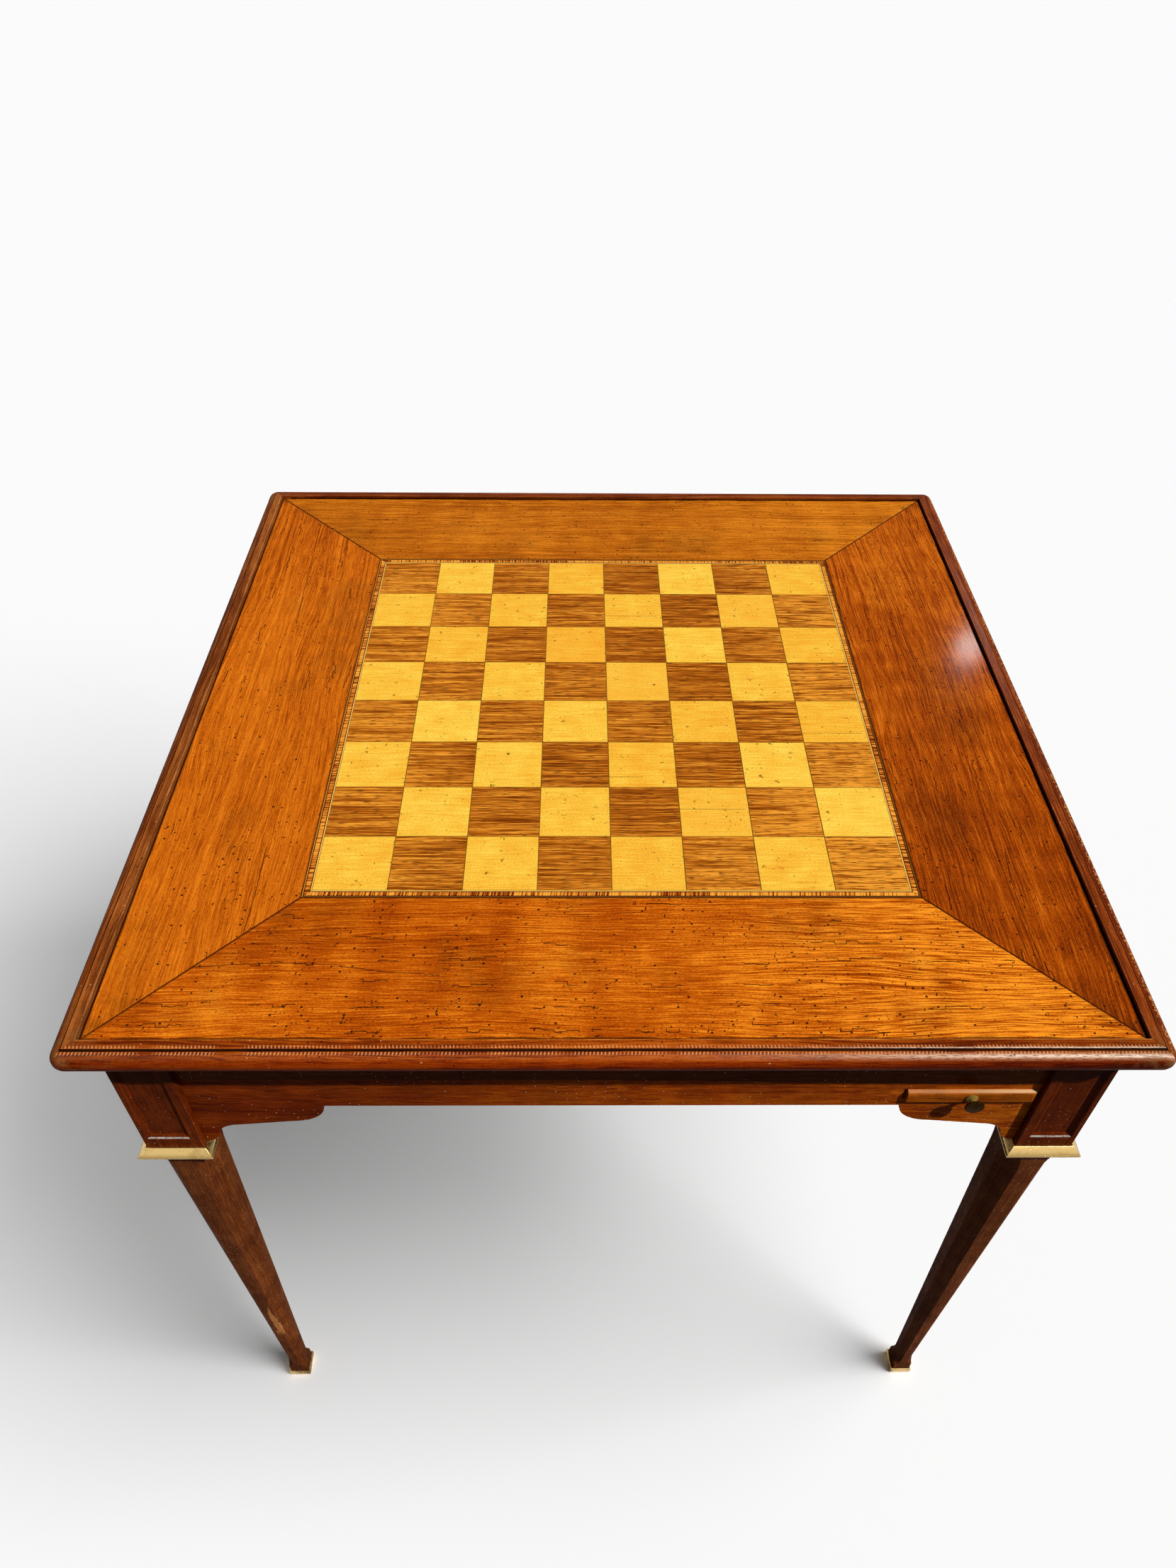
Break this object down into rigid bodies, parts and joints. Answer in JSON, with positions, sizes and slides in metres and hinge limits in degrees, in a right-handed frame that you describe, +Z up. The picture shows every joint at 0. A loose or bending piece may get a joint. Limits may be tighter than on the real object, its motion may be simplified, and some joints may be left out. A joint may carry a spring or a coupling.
{
  "type": "games table",
  "caption": "Square games table with a lift-off chess top over a tric trac well, scalloped aprons, candle slides, and tapering chamfered legs in metal collars and shoes.",
  "frame": {"origin": "on the floor under the middle of the table", "axes": "+Z up, front towards -Y, +X to the right as seen from the front"},
  "size_m": [0.8392, 0.8392, 0.763],
  "materials": {
    "border_wood": "french polished cherry, warm orange",
    "rim_wood": "polished cherry, darker red brown",
    "apron_wood": "polished cherry, red brown with wormholes",
    "slide_wood": "polished cherry",
    "leg_wood": "polished cherry, dark brown red",
    "chess_marquetry": "light and dark veneer squares, polished",
    "crossbanding": "crossbanded veneer between stringing lines",
    "field_marquetry": "veneer inlaid with alternating points",
    "well_wood": "satin polished",
    "secondary_wood": "unpolished oak",
    "mount_brass": "aged, satin",
    "knob_brass": "dull, browned",
    "baize": "woollen baize, glued down"
  },
  "bodies": {
    "table": {"apron_front": "apron_wood", "rim_front": "rim_wood", "lining_front": "well_wood", "ledger_front": "secondary_wood", "apron_right": "apron_wood", "rim_right": "rim_wood", "lining_right": "well_wood", "ledger_right": "secondary_wood", "apron_back": "apron_wood", "rim_back": "rim_wood", "lining_back": "well_wood", "ledger_back": "secondary_wood", "apron_left": "apron_wood", "rim_left": "rim_wood", "lining_left": "well_wood", "ledger_left": "secondary_wood", "slide_cradle_front": "secondary_wood", "slide_cradle_back": "secondary_wood", "leg_front_left": "leg_wood", "collar_front_left": "mount_brass", "sabot_front_left": "mount_brass", "leg_front_right": "leg_wood", "collar_front_right": "mount_brass", "sabot_front_right": "mount_brass", "leg_back_right": "leg_wood", "collar_back_right": "mount_brass", "sabot_back_right": "mount_brass", "leg_back_left": "leg_wood", "collar_back_left": "mount_brass", "sabot_back_left": "mount_brass", "well_floor": "secondary_wood", "well_bar": "well_wood", "partition_left": "well_wood", "partition_right": "well_wood", "field_left": "field_marquetry", "field_right": "field_marquetry"},
    "lift_off_top": {"top_border_front": "border_wood", "top_band_front": "crossbanding", "top_border_right": "border_wood", "top_band_right": "crossbanding", "top_border_back": "border_wood", "top_band_back": "crossbanding", "top_border_left": "border_wood", "top_band_left": "crossbanding", "top_core": "secondary_wood", "chessboard": "chess_marquetry", "baize": "baize"},
    "front_slide": {"slide_front": "slide_wood", "knob_front": "knob_brass"},
    "back_slide": {"slide_back": "slide_wood", "knob_back": "knob_brass"}
  },
  "joints": [
    {"name": "top_lift", "type": "slide", "parent": "table", "child": "lift_off_top", "axis": [0, 0, 1], "range_m": [0, 0.3]},
    {"name": "front_slide_pull", "type": "slide", "parent": "table", "child": "front_slide", "axis": [0, -1, 0], "range_m": [0, 0.15]},
    {"name": "back_slide_pull", "type": "slide", "parent": "table", "child": "back_slide", "axis": [0, 1, 0], "range_m": [0, 0.15]}
  ]
}
